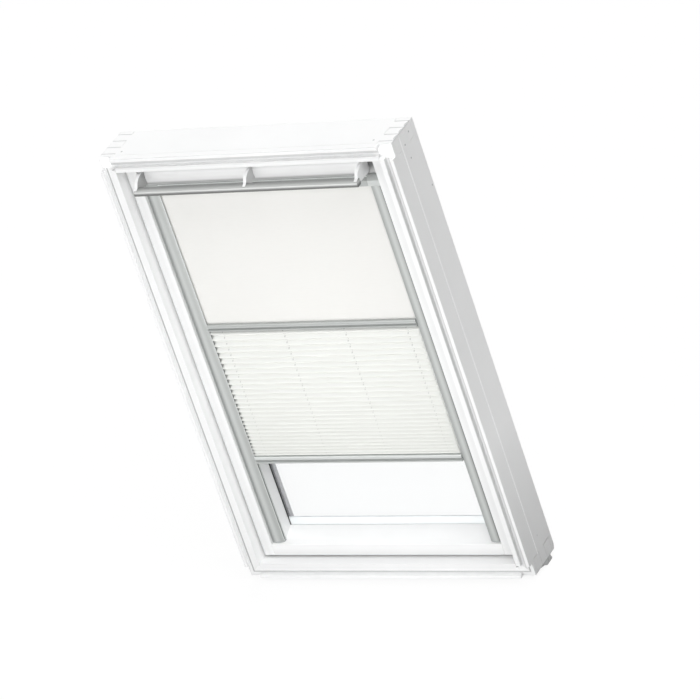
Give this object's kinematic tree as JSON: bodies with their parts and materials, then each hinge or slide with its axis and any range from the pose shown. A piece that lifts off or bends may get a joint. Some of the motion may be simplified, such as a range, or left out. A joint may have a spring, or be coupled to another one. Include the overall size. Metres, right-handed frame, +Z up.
{
  "type": "roof window with duo blind",
  "caption": "Centre-pivot roof window with a control bar and a fitted duo blind: a rolled blackout cloth above a pleated cloth, both between two bars in side rails.",
  "frame": {"origin": "centre of the foot of the box round the whole window, below the sill rail, midway in depth", "axes": "+X to the right seen from the room, +Y out through the roof, +Z up the window"},
  "size_m": [0.78, 0.1694, 1.193],
  "materials": {
    "white_wood": "white satin paint",
    "white_metal": "white satin paint",
    "white_plastic": "matte",
    "grey_plastic": "matte",
    "rail_aluminium": "satin anodised",
    "brushed_aluminium": "brushed",
    "spacer_metal": "satin",
    "cover_metal": "matte grey paint",
    "steel": "zinc plated",
    "rubber": "matte",
    "glass": "clear",
    "blackout_fabric": "coated plain weave",
    "pleated_fabric": "thin pleated weave",
    "cord": "braided"
  },
  "bodies": {
    "frame": {"frame_top": "white_wood", "frame_bottom": "white_wood", "frame_side_left": "white_wood", "frame_side_right": "white_wood", "sill_rail": "white_wood", "frame_seal": "rubber", "frame_cover_left": "cover_metal", "frame_cover_right": "cover_metal", "frame_cover_bottom": "cover_metal", "frame_hood": "cover_metal", "frame_hinge_left": "steel", "frame_hinge_right": "steel", "lock_striker": "steel"},
    "sash": {"sash_top": "white_wood", "sash_bottom": "white_wood", "sash_side_left": "white_wood", "sash_side_right": "white_wood", "sash_hinge_left": "steel", "sash_hinge_right": "steel", "sash_cover_left": "cover_metal", "sash_cover_right": "cover_metal", "sash_cover_top": "cover_metal", "sash_cover_bottom": "cover_metal", "inner_pane": "glass", "outer_pane": "glass", "pane_spacer": "spacer_metal", "glazing_gasket": "rubber", "flap_pivot_rod": "steel", "flap_bearing_left": "grey_plastic", "flap_bearing_right": "grey_plastic", "lock_case": "steel", "headbox_casing": "rail_aluminium", "headbox_end_left": "rail_aluminium", "headbox_end_right": "rail_aluminium", "side_rail_left": "rail_aluminium", "side_rail_right": "rail_aluminium", "rail_end_left": "grey_plastic", "rail_end_right": "grey_plastic", "blackout_cloth": "blackout_fabric"},
    "control": {"vent_flap": "white_metal", "control_bar": "brushed_aluminium", "bar_bracket_left": "white_plastic", "bar_bracket_middle": "white_plastic", "bar_bracket_right": "white_plastic"},
    "bolt": {"lock_bolt": "steel"},
    "roller": {"roller_tube": "brushed_aluminium", "roller_spring": "steel", "blackout_roll": "blackout_fabric"},
    "mid_bar": {"mid_bar": "rail_aluminium", "mid_bar_slider_left": "grey_plastic", "mid_bar_slider_right": "grey_plastic", "pleated_cloth": "pleated_fabric", "pleat_cord_1": "cord", "pleat_cord_2": "cord", "pleat_cord_3": "cord", "pleat_cord_4": "cord"},
    "bottom_bar": {"bottom_bar": "rail_aluminium", "bottom_bar_slider_left": "grey_plastic", "bottom_bar_slider_right": "grey_plastic"}
  },
  "joints": [
    {"name": "sash_pivot", "type": "hinge", "parent": "frame", "child": "sash", "pos_m": [0, 0.0202, 0.603], "axis": [1, 0, 0], "range_deg": [0, 160]},
    {"name": "control_bar_tilt", "type": "hinge", "parent": "sash", "child": "control", "pos_m": [0, -0.01265, 1.106], "axis": [1, 0, 0], "range_deg": [0, 35]},
    {"name": "lock_bolt_slide", "type": "slide", "parent": "sash", "child": "bolt", "axis": [0, 0, 1], "range_m": [-0.0081, 0]},
    {"name": "mid_bar_slide", "type": "slide", "parent": "sash", "child": "mid_bar", "axis": [0, 0, 1], "range_m": [-0.115, 0.355], "deforming": ["blackout_cloth"]},
    {"name": "bottom_bar_slide", "type": "slide", "parent": "mid_bar", "child": "bottom_bar", "axis": [0, 0, 1], "range_m": [-0.11, 0.3], "deforming": ["pleated_cloth", "pleat_cord_1", "pleat_cord_2", "pleat_cord_3", "pleat_cord_4"]},
    {"name": "roller_turn", "type": "hinge", "parent": "sash", "child": "roller", "pos_m": [0, 0.00165, 1.0847], "axis": [1, 0, 0], "continuous": true}
  ],
  "couplings": [
    {"joint": "lock_bolt_slide", "follows": "control_bar_tilt", "m_per_rad": -0.0131},
    {"joint": "roller_turn", "follows": "mid_bar_slide", "rad_per_m": -114.9}
  ]
}
